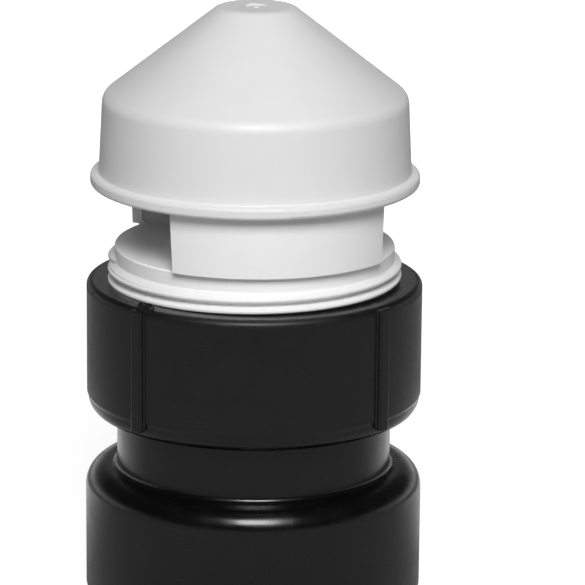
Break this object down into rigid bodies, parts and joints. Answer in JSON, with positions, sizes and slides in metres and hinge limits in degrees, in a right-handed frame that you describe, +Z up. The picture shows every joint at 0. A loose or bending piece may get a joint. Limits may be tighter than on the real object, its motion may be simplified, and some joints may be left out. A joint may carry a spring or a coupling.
{
  "type": "air admittance valve",
  "caption": "Drain vent valve: a conical cap over side air windows and a floating seal, screwed into an adapter whose plain socket glues onto a waste pipe.",
  "frame": {"origin": "on the valve's axis, at the open end of the pipe socket", "axes": "+Z up along the vent, +X and -X out of the two air windows, +Y and -Y out of the two wall panels"},
  "size_m": [0.0696, 0.0696, 0.1221],
  "materials": {
    "adapter": "semi-gloss moulded black ABS",
    "valve_body": "satin moulded white plastic",
    "cap": "satin moulded white plastic",
    "seal_carrier": "natural moulded plastic",
    "seal_membrane": "soft matt elastomer"
  },
  "bodies": {
    "housing": {"adapter": "adapter", "valve_body": "valve_body", "cap": "cap"},
    "seal": {"seal_carrier": "seal_carrier", "seal_membrane": "seal_membrane"}
  },
  "joints": [
    {"name": "seal_lift", "type": "slide", "parent": "housing", "child": "seal", "axis": [0, 0, 1], "range_m": [0, 0.005]}
  ]
}
